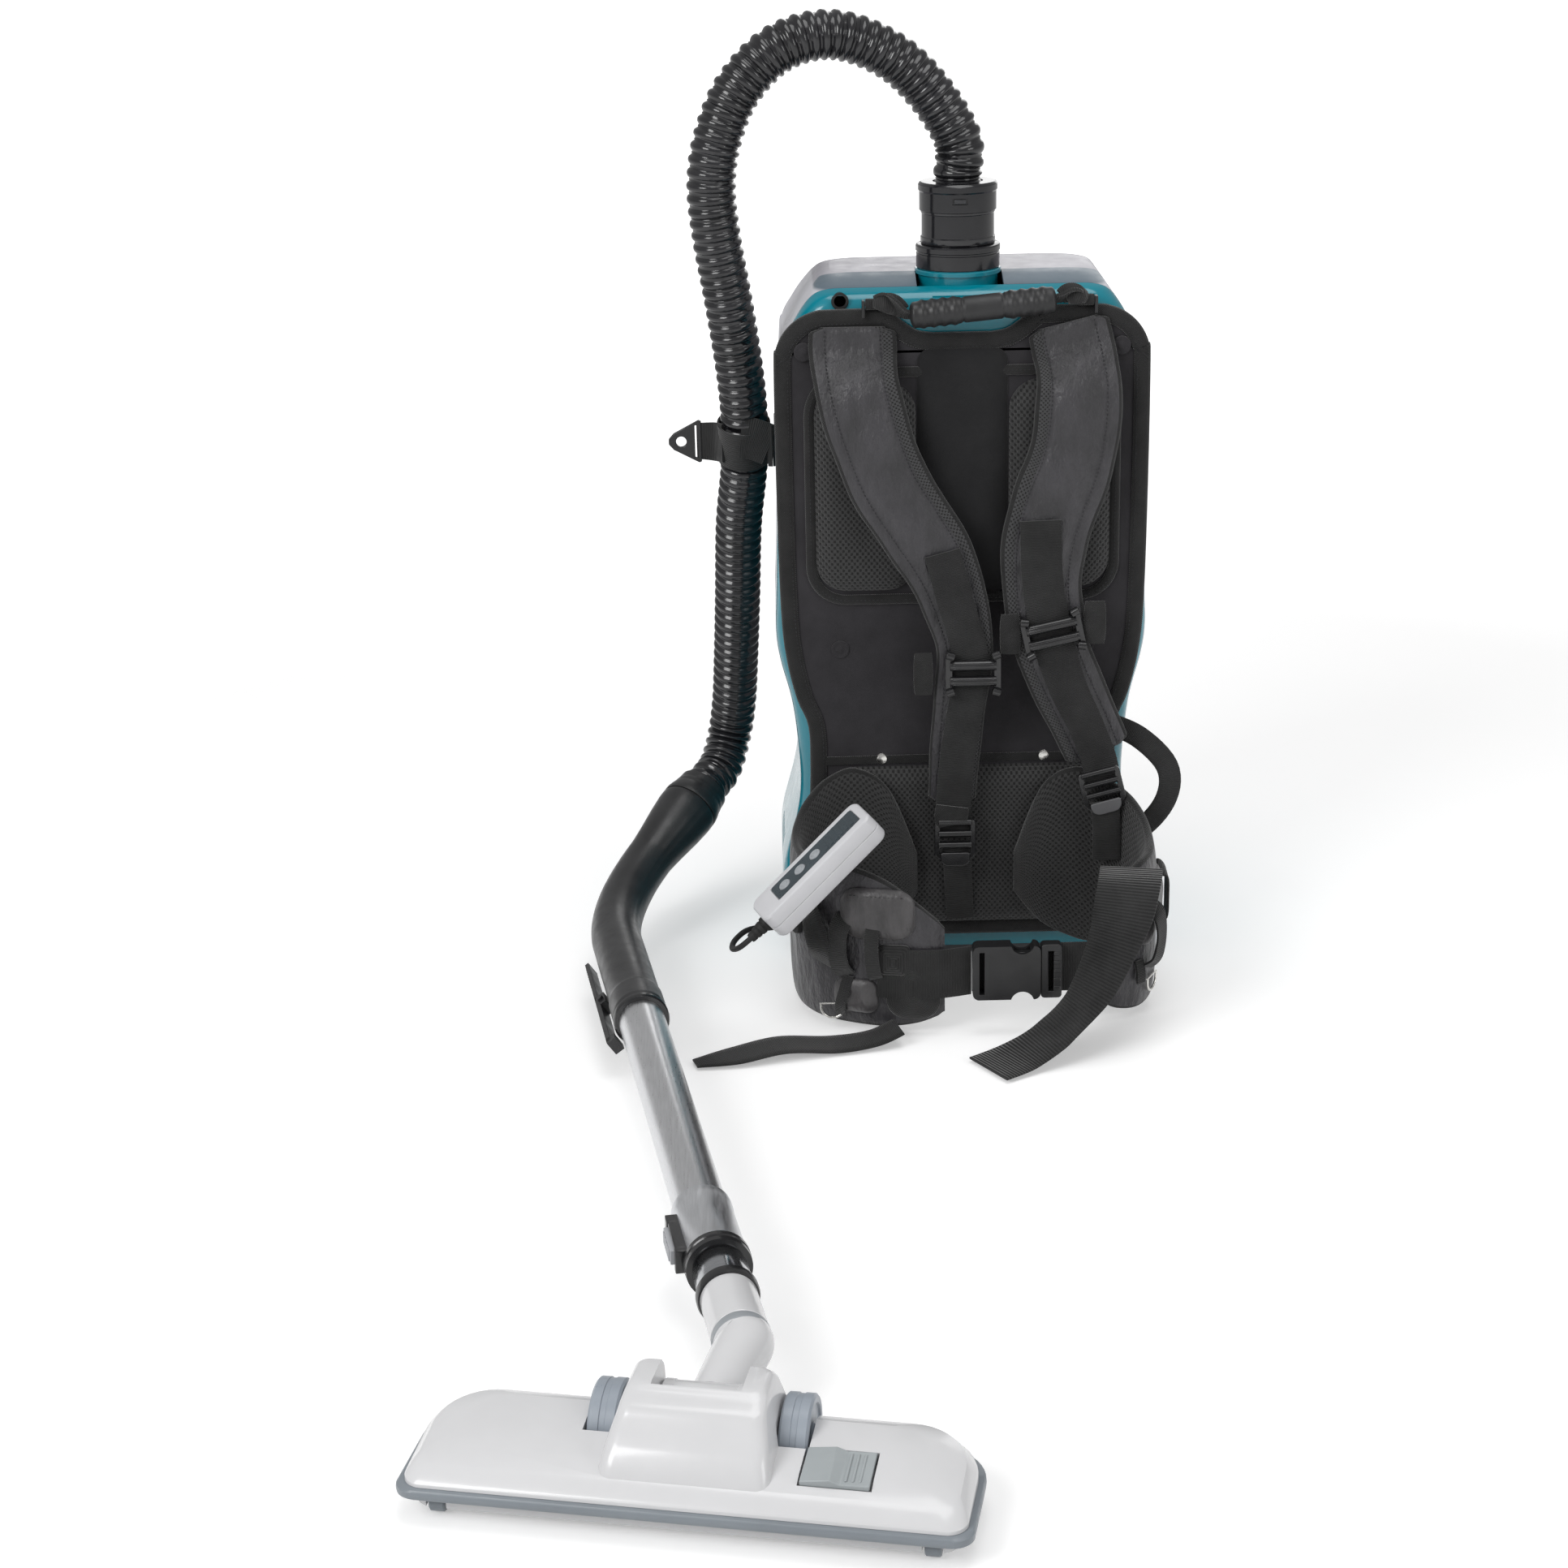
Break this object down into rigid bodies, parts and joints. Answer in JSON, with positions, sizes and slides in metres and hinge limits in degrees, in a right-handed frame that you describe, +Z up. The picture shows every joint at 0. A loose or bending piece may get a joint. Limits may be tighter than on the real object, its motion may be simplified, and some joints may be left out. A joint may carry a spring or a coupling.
{
  "type": "backpack_vacuum",
  "caption": "Cordless backpack vacuum cleaner with padded harness and hip belt, ribbed hose, hand remote, telescopic wand and wheeled floor nozzle",
  "frame": {"origin": "centre of the pack's base on the floor", "axes": "+X to the right as the harness is faced, +Y from the harness to the front cover, +Z up"},
  "size_m": [0.544, 1.0648, 0.7532],
  "materials": {
    "teal_plastic": "smooth gloss",
    "cover_plastic": "satin",
    "grey_plastic": "satin",
    "black_plastic": "semi gloss",
    "white_plastic": "gloss",
    "blue_grey_plastic": "satin",
    "light_plastic": "satin",
    "hose_plastic": "gloss, ribbed",
    "board_fabric": "matt woven cloth with bound edge",
    "mesh_fabric": "spacer mesh",
    "strap_fabric": "satin nylon, padded",
    "webbing": "ribbed webbing",
    "pin_steel": "machined",
    "nickel": "bright",
    "tube_aluminium": "satin",
    "rubber": "matt",
    "copper": "wound",
    "filter_paper": "pleated",
    "bag_fleece": "fleece",
    "board_green": "printed board",
    "bristle": "bristle"
  },
  "bodies": {
    "pack": {"rear_housing": "teal_plastic", "hinge_pins": "pin_steel", "batteries": "black_plastic", "base_plate": "black_plastic", "rubber_feet": "rubber", "motor_deck": "black_plastic", "motor_housing": "black_plastic", "motor_core": "copper", "hepa_filter": "filter_paper", "dust_bag": "bag_fleece", "control_board": "board_green", "inlet_port": "black_plastic", "suction_hose": "hose_plastic", "hose_band": "webbing", "back_panel": "board_fabric", "mesh_pads": "mesh_fabric", "panel_studs": "nickel", "shoulder_strap_left": "strap_fabric", "shoulder_strap_right": "strap_fabric", "strap_webbing": "webbing", "strap_buckles": "black_plastic", "hip_pad_left": "strap_fabric", "hip_pad_right": "strap_fabric", "belt_webbing": "webbing", "belt_buckle_female": "black_plastic", "d_rings": "nickel", "remote_case": "light_plastic", "remote_keypad": "grey_plastic", "remote_cable": "rubber", "cable_gland": "rubber", "wand_grip": "black_plastic", "outer_tube": "tube_aluminium", "tube_sleeve": "light_plastic"},
    "front_cover": {"front_cover": "cover_plastic"},
    "cover_latch": {"cover_latch": "grey_plastic"},
    "battery_door": {"battery_door": "grey_plastic"},
    "battery_door_latch": {"battery_door_latch": "black_plastic"},
    "impeller": {"impeller": "tube_aluminium"},
    "carry_handle": {"carry_handle": "grey_plastic", "handle_loops": "webbing"},
    "hose_collar": {"hose_collar": "black_plastic"},
    "grip_cuff": {"grip_cuff": "black_plastic"},
    "suction_slider": {"suction_slider": "grey_plastic"},
    "lock_lever": {"lock_lever": "black_plastic"},
    "telescopic_button": {"telescopic_button": "grey_plastic"},
    "inner_tube": {"inner_tube": "tube_aluminium", "neck_upper": "white_plastic"},
    "neck": {"neck_lower": "white_plastic"},
    "nozzle": {"nozzle_shell": "white_plastic", "nozzle_base": "white_plastic", "nozzle_bumper": "blue_grey_plastic"},
    "wheel_left": {"wheel_left": "blue_grey_plastic"},
    "wheel_right": {"wheel_right": "blue_grey_plastic"},
    "front_rollers": {"front_rollers": "white_plastic"},
    "brush_pedal": {"brush_pedal": "blue_grey_plastic"},
    "brush_strips": {"brush_strips": "bristle"},
    "power_button": {"power_button": "light_plastic"},
    "speed_button": {"speed_button": "light_plastic"},
    "mode_button": {"mode_button": "light_plastic"},
    "belt_buckle_male": {"belt_buckle_male": "black_plastic"}
  },
  "joints": [
    {"name": "cover_hinge", "type": "hinge", "parent": "pack", "child": "front_cover", "pos_m": [0, 0.1, 0.184], "axis": [-1, 0, 0], "range_deg": [0, 95]},
    {"name": "cover_latch_hinge", "type": "hinge", "parent": "front_cover", "child": "cover_latch", "pos_m": [0, 0.028, 0.558], "axis": [-1, 0, 0], "range_deg": [0, 70]},
    {"name": "battery_door_hinge", "type": "hinge", "parent": "pack", "child": "battery_door", "pos_m": [0, 0.1, 0.016], "axis": [-1, 0, 0], "range_deg": [0, 85]},
    {"name": "battery_door_latch_slide", "type": "slide", "parent": "battery_door", "child": "battery_door_latch", "axis": [0, 0, 1], "range_m": [0, 0.006]},
    {"name": "impeller_spin", "type": "hinge", "parent": "pack", "child": "impeller", "pos_m": [0, -0.036, 0.12], "axis": [0, 0, 1], "continuous": true},
    {"name": "carry_handle_swing", "type": "hinge", "parent": "pack", "child": "carry_handle", "pos_m": [0, -0.105, 0.538], "axis": [-1, 0, 0], "range_deg": [0, 55]},
    {"name": "hose_collar_swivel", "type": "hinge", "parent": "pack", "child": "hose_collar", "pos_m": [0, -0.05, 0.6], "axis": [0, 0, 1], "continuous": true},
    {"name": "grip_cuff_swivel", "type": "hinge", "parent": "pack", "child": "grip_cuff", "pos_m": [-0.2253, 0.00462, 0.0958], "axis": [0.5158, 0.7374, 0.4361], "continuous": true},
    {"name": "suction_slider_slide", "type": "slide", "parent": "pack", "child": "suction_slider", "axis": [0.5158, 0.7374, 0.4361], "range_m": [0, 0.01]},
    {"name": "lock_lever_press", "type": "hinge", "parent": "pack", "child": "lock_lever", "pos_m": [-0.28616, -0.24594, 0.02577], "axis": [0.5616, 0.0934, -0.8221], "range_deg": [0, 4], "stiffness_Nm_per_rad": 1},
    {"name": "telescopic_button_press", "type": "slide", "parent": "pack", "child": "telescopic_button", "axis": [0.9865, 0.164, 0], "range_m": [0, 0.0025], "stiffness_N_per_m": 600},
    {"name": "tube_extend", "type": "slide", "parent": "pack", "child": "inner_tube", "axis": [0.164, -0.9865, 0], "range_m": [0, 0.25]},
    {"name": "neck_swivel", "type": "hinge", "parent": "inner_tube", "child": "neck", "pos_m": [-0.17716, -0.77624, 0.04], "axis": [0.164, -0.9865, 0], "range_deg": [-80, 80]},
    {"name": "nozzle_pitch", "type": "hinge", "parent": "neck", "child": "nozzle", "pos_m": [-0.19678, -0.85361, 0.033], "axis": [-0.981, 0.1942, 0], "range_deg": [-3, 68]},
    {"name": "wheel_left_spin", "type": "hinge", "parent": "nozzle", "child": "wheel_left", "pos_m": [-0.25113, -0.84489, 0.026], "axis": [0.981, -0.1942, 0], "continuous": true},
    {"name": "wheel_right_spin", "type": "hinge", "parent": "nozzle", "child": "wheel_right", "pos_m": [-0.14322, -0.86625, 0.026], "axis": [0.981, -0.1942, 0], "continuous": true},
    {"name": "front_rollers_spin", "type": "hinge", "parent": "nozzle", "child": "front_rollers", "pos_m": [-0.20922, -0.91639, 0.006], "axis": [0.981, -0.1942, 0], "continuous": true},
    {"name": "brush_pedal_rock", "type": "hinge", "parent": "nozzle", "child": "brush_pedal", "pos_m": [-0.12246, -0.91072, 0.03052], "axis": [0.1932, 0.9756, 0.1045], "range_deg": [0, 8.2]},
    {"name": "brush_strips_drop", "type": "slide", "parent": "nozzle", "child": "brush_strips", "axis": [0, 0, -1], "range_m": [0, 0.0035]},
    {"name": "power_button_press", "type": "slide", "parent": "pack", "child": "power_button", "axis": [0.6167, 0.2164, -0.7568], "range_m": [0, 0.0008], "stiffness_N_per_m": 300},
    {"name": "speed_button_press", "type": "slide", "parent": "pack", "child": "speed_button", "axis": [0.6167, 0.2164, -0.7568], "range_m": [0, 0.0008], "stiffness_N_per_m": 300},
    {"name": "mode_button_press", "type": "slide", "parent": "pack", "child": "mode_button", "axis": [0.6167, 0.2164, -0.7568], "range_m": [0, 0.0008], "stiffness_N_per_m": 300},
    {"name": "belt_buckle_pull", "type": "slide", "parent": "pack", "child": "belt_buckle_male", "axis": [1, 0, 0], "range_m": [0, 0.03]}
  ],
  "couplings": [
    {"joint": "brush_pedal_rock", "follows": "brush_strips_drop", "rad_per_m": 40}
  ]
}
